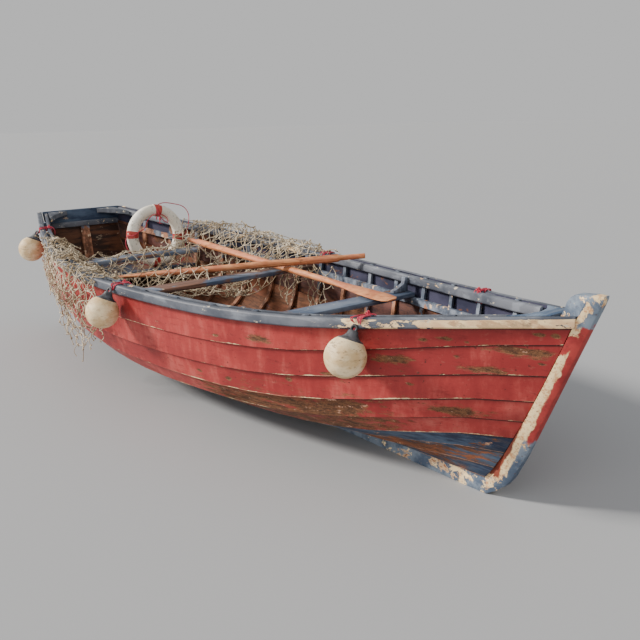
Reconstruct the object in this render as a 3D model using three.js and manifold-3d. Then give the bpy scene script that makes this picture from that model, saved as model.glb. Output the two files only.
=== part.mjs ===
// Clinker-built open rowing boat, abandoned with its gear aboard. Millimetres, +X bow, +Y port, +Z up.
import * as THREE from 'three';
import { mergeVertices } from 'three/addons/utils/BufferGeometryUtils.js';
import Module from 'manifold-3d';

const wasm = await Module();
wasm.setup();

// Hull form: x from the transom's top, z from the keel's bottom
const GAP = 0.5;
const SHEER_STATIONS = [0, 900, 2100, 3300, 4500, 5400, 5889];
const SHEER_HALF_BREADTHS = [442, 716, 949, 904, 662, 277, 58];
const SHEER_HEIGHTS = [1113, 1001, 911, 884, 911, 1001, 1056];
const SHEER_END_X = 5889;
const FORM_STATIONS = [0, 0.3, 0.6, 0.85, 1];
const DEADRISE_DEGREES = [26, 14.5, 6, 27, 80];
const FLARE_DEGREES = [16, 5, 6, 2, 2];
const BILGE_LOWER_PULL = 0.69;
const BILGE_UPPER_PULL = 0.5;
const TRANSOM_FOOT_X = 178;
const FOREFOOT_X = 5389;
const RABBET_HEIGHTS = [75, 75, 75, 75, 102];
const STEM_HOLLOW = 0.17;
const WATERLINE = 300;
const ORIGIN_X = 3000;

// Planking, widths given as shares of the girth down from the sheer
const LAND_STATIONS = [0, 0.5, 0.8, 1];
const LAND_SHARES = [
  [0.91, 0.81, 0.9, 0.921],
  [0.79, 0.712, 0.79, 0.814],
  [0.67, 0.615, 0.7, 0.712],
  [0.54, 0.502, 0.555, 0.605],
  [0.403, 0.395, 0.44, 0.48],
  [0.273, 0.291, 0.312, 0.328],
  [0.138, 0.17, 0.172, 0.151],
];
const STRAKES = LAND_SHARES.length + 1;
const PLANK = 14;
const LAND = 22;
const PLANK_RINGS = 23;
const HOOD_EDGE = 5;
const HOOD_PROUD = 2;
const HOOD_GAP = 1.5;

// Centreline timbers and framing
const KEEL_HALF = 35;
const KEEL_TOP = 108;
const KEEL_END_X = 5200;
const STEM_LIP_HALF = 51;
const STEM_FRONT_HALF = 19;
const STEM_FOOT_X = 5494;
const STEM_RAKE = 0.442;
const TRANSOM_THICK = 30;
const RIB = { first: 435, pitch: 345, count: 14, last: 5325, wide: 38, thick: 20, foot: 114 };
const RISER = { below: 139, deep: 46, thick: 24, from: 330, to: 5480 };
const OUTWALE = { thick: 32, endThick: 8, deep: 60, round: 8 };
const INWALE = { thick: 30, deep: 56, round: 8, from: 80, to: 5572 };
const BREASTHOOK = { aft: 5577, arc: 5660, fore: 5770, deep: 50 };
const THWART = { thick: 32, wide: 170, aftEdges: { aft: 1500, middle: 2655, forward: 3975 } };
const STERN_BENCH = { height: 619, thick: 28, front: 1160 };
const FLOOR = { height: 196, thick: 18 };

// Gear
const FENDER = { radius: 112, stations: [646, 2903, 4907], out: [92, 92, 78], below: [170, 170, 188] };
const RING = { x: 1050, y: 303, outer: 290, tube: 53 };

const radians = THREE.MathUtils.degToRad;
const mix = THREE.MathUtils.lerp;
const v3 = (x, y, z) => new THREE.Vector3(x, y, z);
const boat = new THREE.Group();

function spline(stations, values) {
  const curve = new THREE.CubicInterpolant(stations, values, 1);
  return (at) => curve.evaluate(at)[0];
}

const sheerHalf = spline(SHEER_STATIONS, SHEER_HALF_BREADTHS);
const sheerHeight = spline(SHEER_STATIONS, SHEER_HEIGHTS);
const deadrise = spline(FORM_STATIONS, DEADRISE_DEGREES);
const flare = spline(FORM_STATIONS, FLARE_DEGREES);
const rabbetHeight = spline(FORM_STATIONS, RABBET_HEIGHTS);
const landShares = LAND_SHARES.map((shares) => spline(LAND_STATIONS, shares));
const hoodTaper = (s) => THREE.MathUtils.smoothstep(s, 0.8, 1);
const outwaleThick = (s) => mix(OUTWALE.thick, OUTWALE.endThick, THREE.MathUtils.smoothstep(s, 0.9, 1));

// The planking's base surface at share s of the length, as points from the rabbet up to the sheer
function section(s) {
  const sheer = v3(SHEER_END_X * s, 0, sheerHeight(SHEER_END_X * s));
  sheer.y = sheerHalf(sheer.x) - outwaleThick(s);
  const rise = radians(deadrise(s));
  const lean = radians(flare(s));
  const rabbet = v3(mix(TRANSOM_FOOT_X, FOREFOOT_X, s), 0, rabbetHeight(s));
  rabbet.y = KEEL_HALF + 1 + PLANK * Math.sin(rise);
  const reach = Math.hypot(sheer.y - rabbet.y, sheer.z - rabbet.z);
  const low = BILGE_LOWER_PULL * reach;
  const high = BILGE_UPPER_PULL * reach;
  const bilge = new THREE.CubicBezierCurve(
    new THREE.Vector2(rabbet.y, rabbet.z),
    new THREE.Vector2(rabbet.y + low * Math.cos(rise), rabbet.z + low * Math.sin(rise)),
    new THREE.Vector2(sheer.y - high * Math.sin(lean), sheer.z - high * Math.cos(lean)),
    new THREE.Vector2(sheer.y, sheer.z),
  );
  const straighten = THREE.MathUtils.clamp((s - 0.9) / 0.1, 0, 1) ** 2;
  return bilge.getPoints(40).map((p, i) => {
    const y = mix(p.x, mix(rabbet.y, sheer.y, i / 40), straighten);
    const z = mix(p.y, mix(rabbet.z, sheer.z, i / 40), straighten);
    const climb = (z - rabbet.z) / (sheer.z - rabbet.z);
    return v3(mix(rabbet.x, sheer.x, Math.max(climb, 0) ** (1 - STEM_HOLLOW * s ** 4)), y, z);
  });
}

// Knuckle 0 is the rabbet, knuckles 1 to 7 the lands, and knuckle 8 the sheer
function knuckles(s) {
  const points = section(s);
  const girth = [0];
  for (let i = 1; i < points.length; i++) {
    girth.push(girth[i - 1] + Math.hypot(points[i].y - points[i - 1].y, points[i].z - points[i - 1].z));
  }
  const total = girth[girth.length - 1];
  const shares = [1, ...landShares.map((share) => share(s)), 0];
  return shares.map((share) => {
    const target = total * (1 - share);
    let i = 1;
    while (i < girth.length - 1 && girth[i] < target) i++;
    return points[i - 1].clone().lerp(points[i], (target - girth[i - 1]) / (girth[i] - girth[i - 1]));
  });
}

const PLANK_STATIONS = Array.from({ length: PLANK_RINGS }, (_, j) => j / (PLANK_RINGS - 1));
const KNUCKLE_LINES = PLANK_STATIONS.map(knuckles);

// The knuckles in the upright plane at x, read along each plank edge
function knucklesAt(x) {
  return KNUCKLE_LINES[0].map((_, k) => {
    let j = 1;
    while (j < PLANK_RINGS - 1 && KNUCKLE_LINES[j][k].x < x) j++;
    const aft = KNUCKLE_LINES[j - 1][k];
    const fore = KNUCKLE_LINES[j][k];
    return aft.clone().lerp(fore, (x - aft.x) / (fore.x - aft.x));
  });
}

function outward(from, to) {
  const along = v3(0, to.y - from.y, to.z - from.z).normalize();
  return v3(0, along.z, -along.y);
}

const offset = (point, normal, distance) => point.clone().addScaledVector(normal, distance);

// A closed solid through matching rings; quads from index `turn` on are split the other way
function loft(rings, turn = Infinity) {
  const count = rings[0].length;
  const positions = rings.flat().flatMap((p) => [p.x, p.y, p.z]);
  const faces = [];
  for (let j = 0; j < rings.length - 1; j++) {
    for (let k = 0; k < count; k++) {
      const a = j * count + k;
      const b = j * count + ((k + 1) % count);
      if (k < turn) faces.push([a, b, b + count], [a, b + count, a + count]);
      else faces.push([a, b, a + count], [b, b + count, a + count]);
    }
  }
  faces.push(...cap(rings[0], 0).map(([a, b, c]) => [a, c, b]));
  faces.push(...cap(rings[rings.length - 1], (rings.length - 1) * count));
  return outwardGeometry(positions, faces);
}

// An end cap, turned the way its ring runs
function cap(ring, start) {
  const normal = v3(0, 0, 0);
  ring.forEach((p, i) => normal.add(p.clone().cross(ring[(i + 1) % ring.length])));
  normal.normalize();
  const right = ring[1].clone().sub(ring[0]).normalize();
  const up = normal.clone().cross(right);
  const flat = ring.map((p) => new THREE.Vector2(p.dot(right), p.dot(up)));
  return THREE.ShapeUtils.triangulateShape(flat, []).map((face) => face.map((i) => i + start));
}

function outwardGeometry(positions, faces) {
  const corner = (i) => v3(positions[3 * i], positions[3 * i + 1], positions[3 * i + 2]);
  const volume = faces.reduce((sum, [a, b, c]) => sum + corner(a).dot(corner(b).cross(corner(c))), 0);
  const order = volume > 0 ? faces : faces.map(([a, b, c]) => [a, c, b]);
  const geometry = new THREE.BufferGeometry();
  geometry.setAttribute('position', new THREE.Float32BufferAttribute(positions, 3));
  geometry.setIndex(order.flat());
  return geometry;
}

function manifold(geometry) {
  const bare = new THREE.BufferGeometry();
  bare.setAttribute('position', geometry.getAttribute('position'));
  bare.setIndex(geometry.getIndex());
  const merged = mergeVertices(bare, 1e-4);
  return new wasm.Manifold(new wasm.Mesh({
    numProp: 3,
    vertProperties: new Float32Array(merged.getAttribute('position').array),
    triVerts: new Uint32Array(merged.getIndex().array),
  }));
}

function unite(geometries) {
  const joined = geometries.map(manifold).reduce((whole, next) => whole.add(next));
  const mesh = joined.getMesh();
  const geometry = new THREE.BufferGeometry();
  geometry.setAttribute('position', new THREE.Float32BufferAttribute(mesh.vertProperties, 3));
  geometry.setIndex(Array.from(mesh.triVerts));
  return geometry;
}

function mirrored(geometry) {
  const positions = Array.from(geometry.getAttribute('position').array, (v, i) => (i % 3 === 1 ? -v : v));
  const index = Array.from(geometry.getIndex().array);
  const faces = [];
  for (let i = 0; i < index.length; i += 3) faces.push([index[i], index[i + 1], index[i + 2]]);
  return outwardGeometry(positions, faces);
}

function add(name, geometry, look) {
  const material = new THREE.MeshStandardMaterial(look);
  const mesh = new THREE.Mesh(geometry, material);
  mesh.name = name;
  boat.add(mesh);
  return mesh;
}

function addPair(name, geometry, look) {
  add(`port_${name}`, geometry, look);
  add(`starboard_${name}`, mirrored(geometry), look);
}

const RED = { color: 0xb03a38, roughness: 0.6, metalness: 0 };
const BLUE = { color: 0x3c506e, roughness: 0.6, metalness: 0 };
const GREY_BLUE = { color: 0x646e7d, roughness: 0.65, metalness: 0 };
const BARE_WOOD = { color: 0x6b4a30, roughness: 0.8, metalness: 0 };
const OAR_WOOD = { color: 0xc88a58, roughness: 0.6, metalness: 0 };
const CREAM = { color: 0xe6c9a0, roughness: 0.5, metalness: 0 };
const NET = { color: 0x9c8d78, roughness: 0.95, metalness: 0 };

// One plank: its lower edge laps outside the strake below and its upper edge lies under the one above
function strakeRing(s, n) {
  const line = knuckles(s);
  const low = line[n - 1];
  const high = line[n];
  const taper = hoodTaper(s);
  const edge = mix(PLANK, HOOD_EDGE, taper);
  const proud = mix(PLANK + GAP, HOOD_PROUD, taper);
  const under = proud - edge - mix(GAP, HOOD_GAP, taper);
  const normal = outward(low, high);
  const up = high.clone().sub(low).normalize();
  const lapped = n > 1;
  const outer = [offset(low, normal, lapped ? proud : 0)];
  const lowEdge = lapped ? proud - edge : -PLANK;
  const inner = [offset(low, normal, lowEdge), offset(low, normal, lowEdge).addScaledVector(up, LAND + 4)];
  if (n === STRAKES) {
    outer.push(offset(high, normal, 0));
    inner.push(offset(high, normal, -PLANK));
  } else {
    const next = line[n + 1];
    const nextNormal = outward(high, next);
    const nextUp = next.clone().sub(high).normalize().multiplyScalar(LAND);
    const miter = normal.clone().add(nextNormal).normalize();
    outer.push(offset(high, miter, under), offset(high, nextNormal, under).add(nextUp));
    inner.push(offset(high, miter, -PLANK), offset(high, nextNormal, -PLANK).add(nextUp));
  }
  return { outer, inner };
}

function strake(n) {
  const rings = PLANK_STATIONS.map((s) => strakeRing(s, n));
  return loft(rings.map(({ outer, inner }) => [...outer, ...inner.reverse()]), rings[0].outer.length);
}

function addStrakes() {
  for (let n = 1; n <= STRAKES; n++) addPair(`strake_${n}`, strake(n), n > 3 ? RED : BLUE);
}

// Box-like solid between two corners
function block(x0, x1, y0, y1, z0, z1) {
  const ring = (x) => [v3(x, y0, z0), v3(x, y1, z0), v3(x, y1, z1), v3(x, y0, z1)];
  return loft([ring(x0), ring(x1)]);
}

function addKeel() {
  const foot = TRANSOM_FOOT_X - 20;
  add('keel', block(foot, KEEL_END_X - GAP, -KEEL_HALF, KEEL_HALF, 0, KEEL_TOP), BLUE);
}

const climbAtStem = (z) => (z - RABBET_HEIGHTS[4]) / (sheerHeight(SHEER_END_X) - RABBET_HEIGHTS[4]);
const rabbetX = (z) => mix(FOREFOOT_X, SHEER_END_X, climbAtStem(z) ** (1 - STEM_HOLLOW));

// The stem's stations from the scarf up to the head: aft edge, rabbet and front edge in side view
function stemRings() {
  const station = (aftX, aftZ, rabbetX, rabbetZ, frontX, frontZ, lip, front) =>
    ({ aft: [aftX, aftZ], rabbet: [rabbetX, rabbetZ], face: [frontX, frontZ], lip, front });
  const upright = (z) => station(rabbetX(z) - 88, z, rabbetX(z) + 4, z,
    STEM_FOOT_X + STEM_RAKE * z, z, STEM_LIP_HALF, STEM_FRONT_HALF);
  return [
    station(KEEL_END_X, KEEL_TOP, KEEL_END_X, 56, KEEL_END_X, 0, KEEL_HALF - 0.2, KEEL_HALF - 0.2),
    station(5290, 124, 5335, 62, 5385, 0, 38, 30),
    station(5330, 160, 5399, 86, 5450, 38, 44, 24),
    station(5362, 200, 5440, 126, 5503, 84, STEM_LIP_HALF, 21),
    station(5384, 232, 5480, 172, 5543, 136, STEM_LIP_HALF, STEM_FRONT_HALF),
    ...[277, 400, 550, 700, 850, 960, 1070].map(upright),
    station(5812, 1080, 5903, 1082, 5974, 1084, STEM_LIP_HALF, STEM_FRONT_HALF),
    station(5820, 1108, 5916, 1112, 5987, 1116, 49, STEM_FRONT_HALF),
    station(5838, 1134, 5926, 1140, 5998, 1146, 46, STEM_FRONT_HALF),
    station(5860, 1149, 5930, 1155, 6000, 1159, 42, STEM_FRONT_HALF),
  ];
}

function addStem() {
  const side = ({ aft, rabbet, face, lip, front }) => [
    v3(aft[0], KEEL_HALF - 1, aft[1]),
    v3(rabbet[0], KEEL_HALF - 1, rabbet[1]),
    v3(rabbet[0] + 1, lip, rabbet[1] - 0.5),
    v3(face[0], front, face[1]),
  ];
  const rings = stemRings().map((ring) => {
    const port = side(ring);
    const starboard = port.map((p) => v3(p.x, -p.y, p.z)).reverse();
    return [...port, ...starboard];
  });
  add('stem_post', loft(rings), CREAM);
}

// The planking's inner outline at share s, kept `clear` inside it, from the rabbet to the sheer
function innerOutline(s, clear) {
  const outline = [];
  for (let n = 1; n <= STRAKES; n++) {
    const { inner } = strakeRing(s, n);
    const line = knuckles(s);
    const inwardNormal = outward(line[n - 1], line[n]).multiplyScalar(-clear);
    outline.push(...inner.slice(1).map((p) => p.clone().add(inwardNormal)));
  }
  return outline;
}

function addTransom() {
  const side = innerOutline(0, 4).filter((p) => p.z > KEEL_TOP + 4);
  const top = side[side.length - 1];
  const rakeX = (z) => TRANSOM_FOOT_X * (1 - (z - 75) / (top.z - 75));
  const foot = v3(0, KEEL_HALF + 12, KEEL_TOP + 3);
  const port = [foot, ...side];
  const outline = [...port, ...port.map((p) => v3(0, -p.y, p.z)).reverse()];
  const ring = (forward) => outline.map((p) => v3(rakeX(p.z) + forward, p.y, p.z));
  add('transom', loft([ring(0.5), ring(TRANSOM_THICK)]), BLUE);
}

const transomInnerX = (z) => TRANSOM_FOOT_X * (1 - (z - 75) / (sheerHeight(0) - 75)) + TRANSOM_THICK;

// Half breadth at x and height z of the surface that lies `depth` inside the planking's base
function innerHalf(x, z, depth) {
  const line = knucklesAt(x);
  for (let n = 1; n < line.length; n++) {
    if (z <= line[n].z || n === line.length - 1) {
      const normal = outward(line[n - 1], line[n]);
      const low = offset(line[n - 1], normal, -depth);
      const high = offset(line[n], normal, -depth);
      return mix(low.y, high.y, (z - low.z) / (high.z - low.z));
    }
  }
  return 0;
}

const RIB_BED = PLANK + 2.5;
const ribInnerHalf = (x, z) => innerHalf(x, z, RIB_BED + RIB.thick + 1);

function ribStations() {
  return [...Array.from({ length: RIB.count }, (_, i) => RIB.first + i * RIB.pitch), RIB.last];
}

// The rib's line up the planking, started clear of the keel
function ribLine(x, first) {
  const line = knucklesAt(x);
  const below = line[first - 1];
  const share = (RIB.foot - below.y) / (line[first].y - below.y);
  return [below.clone().lerp(line[first], share), ...line.slice(first)];
}

// A bent rib: one ring at each knuckle, up to the sheer
function rib(x) {
  const first = knucklesAt(x).findIndex((p) => p.y > RIB.foot + 4);
  const faces = [x - RIB.wide / 2, x + RIB.wide / 2].map((at) => ribLine(at, first));
  const rings = faces[0].map((_, n) => {
    const [aft, fore] = faces.map((line) => {
      const below = outward(line[Math.max(n - 1, 0)], line[Math.max(n, 1)]);
      const above = outward(line[Math.min(n, line.length - 2)], line[Math.min(n + 1, line.length - 1)]);
      const normal = below.add(above).normalize();
      return [offset(line[n], normal, -RIB_BED), offset(line[n], normal, -RIB_BED - RIB.thick)];
    });
    return [aft[0], aft[1], fore[1], fore[0]];
  });
  rings[rings.length - 1].forEach((p) => { p.z -= 2; });
  return loft(rings);
}

// A lengthwise timber: `outline(x)` gives its ring in the upright plane at x
function stringer(fromX, toX, steps, outline) {
  const rings = Array.from({ length: steps + 1 }, (_, i) => {
    const x = mix(fromX, toX, i / steps);
    return outline(x).map(([y, z]) => v3(x, y, z));
  });
  return loft(rings);
}

function riserOutline(x) {
  const top = sheerHeight(x) - RISER.below;
  const bottom = top - RISER.deep;
  const outerTop = ribInnerHalf(x, top) + 5;
  const outerBottom = ribInnerHalf(x, bottom) + 5;
  return [[outerTop, top], [outerBottom, bottom], [outerBottom - RISER.thick, bottom], [outerTop - RISER.thick, top]];
}

function addFrames() {
  const riser = stringer(RISER.from, RISER.to, 24, riserOutline);
  const frame = unite([riser, ...ribStations().map(rib)]);
  addPair('frames', frame, BARE_WOOD);
}

// The outwale's ring at share s of the length, against the outside of the top strake
function outwaleRing(s) {
  const line = knuckles(s);
  const top = line[STRAKES];
  const normal = outward(line[STRAKES - 1], top);
  const down = line[STRAKES - 1].clone().sub(top).normalize();
  const foot = offset(top, normal, mix(8, 3.5, hoodTaper(s))).addScaledVector(down, OUTWALE.deep);
  const thick = outwaleThick(s);
  const round = Math.min(OUTWALE.round, thick / 3);
  const shift = foot.y - top.y;
  const outline = [
    [top.y + 1.2, top.z + 2],
    [top.y + thick - round, top.z + 2],
    [top.y + thick, top.z + 2 - round],
    [top.y + thick + shift, foot.z + round],
    [top.y + thick + shift - round, foot.z],
    [foot.y, foot.z],
  ];
  const x = THREE.MathUtils.clamp(top.x, 1, SHEER_END_X - 3);
  return outline.map(([y, z]) => v3(x, y, z));
}

function inwaleOutline(x) {
  const top = sheerHeight(x) + 2;
  const at = (inset, drop) => [innerHalf(x, top - drop, RIB_BED + RIB.thick + 2.5) - inset, top - drop];
  const { thick, deep, round } = INWALE;
  return [at(0, 0), at(0, deep), at(thick - round, deep), at(thick, deep - round), at(thick, round), at(thick - round, 0)];
}

function addGunwales() {
  addPair('outwale', loft(PLANK_STATIONS.map(outwaleRing)), GREY_BLUE);
  addPair('inwale', stringer(INWALE.from, INWALE.to, 24, inwaleOutline), GREY_BLUE);
}

// The triangular hook between the top strakes, hollowed along its aft edge
function addBreasthook() {
  const { aft, arc, fore, deep } = BREASTHOOK;
  const ring = (up) => {
    const half = (x) => innerHalf(x, sheerHeight(x) + up, PLANK + 3);
    const edge = [0, 0.25, 0.5, 0.75, 1].map((t) => mix(aft, fore, t));
    const port = edge.map((x) => [x, half(x)]);
    const starboard = port.map(([x, y]) => [x, -y]).reverse();
    const hollow = [-0.6, 0, 0.6].map((t) => [mix(arc, aft, t * t), t * half(aft)]);
    return [...port, ...starboard, ...hollow].map(([x, y]) => v3(x, y, sheerHeight(x) + up));
  };
  add('breasthook', loft([ring(-deep), ring(3)]), GREY_BLUE);
}

function addQuarterKnees() {
  const height = sheerHeight(100) - 4;
  const insideInwale = (x) => Math.min(...inwaleOutline(x).map(([y]) => y)) - 5;
  const wall = transomInnerX(height) + 2;
  const outline = [
    [wall, insideInwale(wall + 30)],
    [wall + 230, insideInwale(wall + 230)],
    [wall + 120, insideInwale(wall + 120) - 55],
    [wall + 50, insideInwale(wall + 50) - 115],
    [wall, insideInwale(wall + 30) - 190],
  ];
  const drop = (x) => sheerHeight(x) - sheerHeight(100);
  const ring = (up) => outline.map(([x, y]) => v3(x + (up < -10 ? 12 : 0), y, height + up + drop(x)));
  addPair('quarter_knee', loft([ring(-38), ring(4)]), GREY_BLUE);
}

function addTransomFittings() {
  const top = 1000;
  const deep = 50;
  const half = ribInnerHalf(150, top - deep) - 34;
  const ledge = (y) => [
    v3(transomInnerX(top) + 1, y, top), v3(transomInnerX(top) + 46, y, top),
    v3(transomInnerX(top) + 46, y, top - deep), v3(transomInnerX(top - deep) + 1, y, top - deep),
  ];
  add('transom_ledge', loft([ledge(-half), ledge(half)]), GREY_BLUE);
  const post = (z) => {
    const x = transomInnerX(z) + 1;
    return [v3(x, -45, z), v3(x, 45, z), v3(x + 28, 45, z), v3(x + 28, -45, z)];
  };
  add('transom_post', loft([post(top - deep - 1), post(KEEL_TOP + 30)]), BARE_WOOD);
}

// A board across the boat, its ends following the inside of the ribs
function crossBoard(aft, fore, top, thick, clear) {
  const half = (x) => ribInnerHalf(x, top - thick) - clear;
  const outline = (z) => [
    v3(aft, half(aft), z), v3(fore, half(fore), z), v3(fore, -half(fore), z), v3(aft, -half(aft), z),
  ];
  return loft([outline(top - thick), outline(top)]);
}

function thwartTop(aft) {
  const highest = Math.max(sheerHeight(aft), sheerHeight(aft + THWART.wide));
  return highest - RISER.below + THWART.thick + 1;
}

function addThwarts() {
  Object.entries(THWART.aftEdges).forEach(([name, aft]) => {
    const board = crossBoard(aft, aft + THWART.wide, thwartTop(aft), THWART.thick, 2);
    add(`${name}_thwart`, board, GREY_BLUE);
  });
}

// A standing knee: an upright arm against the inwale and a toe along the thwart
function addThwartKnee(name, aft) {
  const x = aft + THWART.wide / 2;
  const foot = thwartTop(aft) + 0.6;
  const wall = Math.min(...inwaleOutline(x).map(([y]) => y)) - 6;
  const head = sheerHeight(x) - 8;
  const profile = [
    [wall, foot], [wall, head], [wall - 26, head + 4], [wall - 34, head - 40],
    [wall - 60, foot + 44], [wall - 100, foot + 26], [wall - 130, foot + 18], [wall - 130, foot],
  ];
  const ring = (side) => profile.map(([y, z]) => v3(x + side * 18, y, z));
  addPair(`${name}_thwart_knee`, loft([ring(-1), ring(1)]), GREY_BLUE);
}

function addSternBench() {
  const { height, thick, front } = STERN_BENCH;
  const aft = transomInnerX(height - thick) + 34;
  add('stern_bench', crossBoard(aft, front, height, thick, 2), GREY_BLUE);
}

// Floor boards over the ribs: a broad centre board and one board each side
function addFloorBoards() {
  const top = FLOOR.height;
  const base = top - FLOOR.thick;
  add('centre_floor_board', block(1150, 4700, -110, 110, base, top), BLUE);
  const side = (x) => [v3(x, 122, base), v3(x, 300, base + 22), v3(x, 300, top + 22), v3(x, 122, top)];
  addPair('floor_board', loft([side(1500), side(4250)]), BARE_WOOD);
}

// An oar along +X: grip, loom and a flat blade, then laid between two points
function oar(name, grip, tip, roll) {
  const length = grip.distanceTo(tip);
  const blade = 620;
  const stations = [
    [0, 20, 20], [190, 21, 21], [206, 30, 30], [900, 28, 28], [length - blade - 300, 24, 24], [length - blade, 24, 22],
    [length - blade + 160, 46, 15], [length - blade + 340, 68, 11], [length - 120, 76, 8],
    [length - 30, 64, 7], [length, 36, 6],
  ];
  const ring = ([x, wide, thick]) => Array.from({ length: 10 }, (_, i) => {
    const turn = (i / 10) * 2 * Math.PI;
    return v3(x, wide * Math.cos(turn), thick * Math.sin(turn));
  });
  const mesh = add(name, loft(stations.map(ring)), OAR_WOOD);
  const along = tip.clone().sub(grip).normalize();
  const across = v3(0, 0, 1).cross(along).normalize();
  const up = along.clone().cross(across);
  mesh.quaternion.setFromRotationMatrix(new THREE.Matrix4().makeBasis(along, across, up));
  mesh.rotateX(roll);
  mesh.position.copy(grip);
}

function addOars() {
  oar('crossed_oar', v3(3485, 795, 946), v3(1795, -748, 732), 0.1);
  oar('long_oar', v3(1320, 500, 882), v3(4257, 350, 804), 0.08);
}

function addLifeRing() {
  const geometry = new THREE.TorusGeometry(RING.outer - RING.tube, RING.tube, 12, 28);
  const mesh = add('life_ring', geometry, CREAM);
  mesh.rotation.set(0, Math.PI / 2 - 0.06, 0);
  mesh.position.set(RING.x, RING.y, STERN_BENCH.height + RING.outer + 1);
}

// A ball fender with a cone and an eye block on top
function fenderGeometry() {
  const { radius } = FENDER;
  const profile = [];
  for (let i = 0; i <= 8; i++) {
    const angle = -Math.PI / 2 + (i / 8) * radians(133);
    profile.push(new THREE.Vector2(Math.max(radius * Math.cos(angle), 0), radius * Math.sin(angle)));
  }
  profile[0].x = 0;
  profile.push(new THREE.Vector2(34, radius + 22), new THREE.Vector2(20, radius + 48), new THREE.Vector2(0, radius + 50));
  return new THREE.LatheGeometry(profile, 16);
}

function addFenders() {
  const places = ['aft', 'middle', 'forward'];
  FENDER.stations.forEach((x, i) => {
    const height = sheerHeight(x) - FENDER.below[i];
    const half = sheerHalf(x) + FENDER.out[i];
    [['port', 1], ['starboard', -1]].forEach(([side, sign]) => {
      const mesh = add(`${side}_fender_${places[i]}`, fenderGeometry(), CREAM);
      mesh.rotation.x = Math.PI / 2;
      mesh.position.set(x, sign * half, height);
    });
  });
}

// The net's plain soft solids: one curtain outside the starboard quarter and one heap inside
function addNet() {
  const curtain = (x) => {
    const edge = -(sheerHalf(x) + 14);
    const top = sheerHeight(x) + 6;
    return [[edge, top], [edge - 34, top - 20], [edge - 30, top - 380], [edge - 8, top - 380]];
  };
  add('net_curtain', stringer(900, 2600, 10, curtain), NET);
  const heap = (x) => {
    const rise = 60 * Math.sin(((x - 1720) / 840) * Math.PI);
    return [[-380, 420], [380, 420], [420, 500], [120, 560 + rise], [-200, 540 + rise], [-420, 480]];
  };
  add('net_heap', stringer(1720, 2560, 6, heap), NET);
}

addKeel();
addStem();
addTransom();
addStrakes();
addFrames();
addGunwales();
addBreasthook();
addQuarterKnees();
addTransomFittings();
addThwarts();
addThwartKnee('middle', THWART.aftEdges.middle);
addThwartKnee('forward', THWART.aftEdges.forward);
addSternBench();
addFloorBoards();
addOars();
addLifeRing();
addFenders();
addNet();

boat.position.set(-ORIGIN_X, 0, -WATERLINE);

export default boat;
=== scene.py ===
"""An abandoned clinker rowing boat with flaking paint, a torn net, fenders, oars and a life ring."""

import math
import random

import bpy
import numpy as np
from mathutils import Euler, Matrix, Vector, noise


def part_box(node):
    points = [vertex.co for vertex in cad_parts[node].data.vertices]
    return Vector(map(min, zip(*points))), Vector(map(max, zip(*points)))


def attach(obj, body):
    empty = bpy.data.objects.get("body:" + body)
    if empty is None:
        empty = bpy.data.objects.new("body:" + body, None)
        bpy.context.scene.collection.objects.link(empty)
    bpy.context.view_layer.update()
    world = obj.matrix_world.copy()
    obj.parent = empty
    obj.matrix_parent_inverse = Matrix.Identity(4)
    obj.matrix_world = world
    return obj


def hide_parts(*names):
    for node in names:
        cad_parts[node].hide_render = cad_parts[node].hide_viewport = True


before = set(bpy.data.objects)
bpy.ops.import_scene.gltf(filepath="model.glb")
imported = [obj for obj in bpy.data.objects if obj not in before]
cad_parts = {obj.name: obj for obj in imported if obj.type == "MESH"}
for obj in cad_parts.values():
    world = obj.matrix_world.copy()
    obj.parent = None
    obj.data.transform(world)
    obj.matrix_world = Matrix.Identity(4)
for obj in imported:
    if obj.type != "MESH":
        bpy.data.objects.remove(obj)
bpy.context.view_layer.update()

SIDES = {"port": 1, "starboard": -1}
STRAKES = range(1, 9)
FIRST_RED_STRAKE = 4
KEEL_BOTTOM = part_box("keel")[0].z


# ---------------------------------------------------------------- camera, floor and light

CAMERA_PLACE = Vector((4.902, -3.047, 1.628))
CAMERA_AZIMUTH = 0.914
CAMERA_ELEVATION = 0.246
CAMERA_ROLL = -0.023
CAMERA_LENS = 44.64
SENSOR_WIDTH = 36
FLOOR_SIZE = 600


def add_camera():
    level, rise = math.cos(CAMERA_ELEVATION), math.sin(CAMERA_ELEVATION)
    forward, side = math.cos(CAMERA_AZIMUTH), math.sin(CAMERA_AZIMUTH)
    back = Vector((side * level, -forward * level, rise))
    right = Vector((forward, side, 0))
    across = right * math.cos(CAMERA_ROLL) + back.cross(right) * math.sin(CAMERA_ROLL)
    upright = back.cross(across)
    camera = bpy.data.objects.new("camera", bpy.data.cameras.new("camera"))
    bpy.context.scene.collection.objects.link(camera)
    camera.matrix_world = Matrix((across, upright, back)).transposed().to_4x4()
    camera.location = CAMERA_PLACE
    camera.data.lens = CAMERA_LENS
    camera.data.sensor_width = SENSOR_WIDTH
    bpy.context.scene.camera = camera


def add_light(name, source, power, softness, colour):
    """Even light from far off in the direction of `source`; softness is the angle it comes from."""
    lamp = bpy.data.lights.new(name, "SUN")
    lamp.energy = power
    lamp.angle = softness
    lamp.color = colour
    light = bpy.data.objects.new(name, lamp)
    bpy.context.scene.collection.objects.link(light)
    light.location = source
    light.rotation_euler = Vector(source).to_track_quat("Z", "Y").to_euler()


def add_studio():
    bpy.ops.mesh.primitive_plane_add(size=FLOOR_SIZE, location=(0, 0, KEEL_BOTTOM - 0.001))
    floor = bpy.context.object
    floor.name = "studio_floor"
    floor.data.materials.append(plain_floor())
    world = bpy.data.worlds.new("studio")
    bpy.context.scene.world = world
    world.use_nodes = True
    background = world.node_tree.nodes["Background"]
    background.inputs["Color"].default_value = (0.98, 0.98, 0.98, 1)
    background.inputs["Strength"].default_value = 0.62
    add_light("key", (-6.0, -5.6, 4.2), power=5.8, softness=0.16, colour=(1.0, 0.94, 0.86))
    add_light("front", (2.6, -7.0, 3.4), power=1.1, softness=1.0, colour=(1.0, 0.98, 0.95))


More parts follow.
